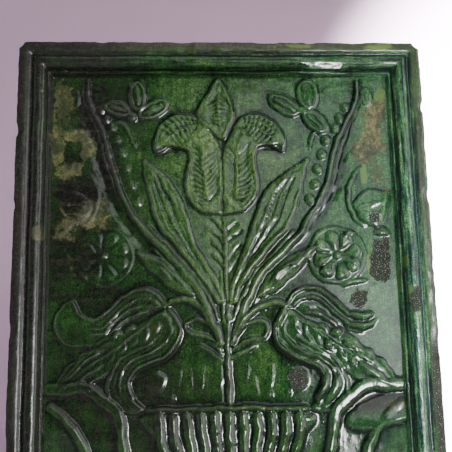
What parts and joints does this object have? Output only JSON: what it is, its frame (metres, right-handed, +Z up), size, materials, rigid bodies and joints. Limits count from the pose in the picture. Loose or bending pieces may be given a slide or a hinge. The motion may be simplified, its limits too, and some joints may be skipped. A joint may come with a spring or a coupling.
{
  "type": "stove tile",
  "caption": "Moulded relief stove tile with a green glaze: a vase with tulips, rosettes and leaves in a stepped frame, and an open collar behind for building in.",
  "frame": {"origin": "middle of the lower run of the collar's rear rim, on the rim's flat face, where the tile is bedded into the stove's wall", "axes": "+Z up along the tile's height, +Y out of the back of the collar, so the glazed front faces -Y, +X to the right seen from the front"},
  "size_m": [0.21, 0.0675, 0.2699],
  "materials": {
    "green_glaze": "glossy green lead glaze over red clay, pooled darker in the hollows, thin and brown on the ridges, bare clay at the back"
  },
  "bodies": {
    "root": {"stove_tile": "green_glaze"}
  },
  "joints": []
}
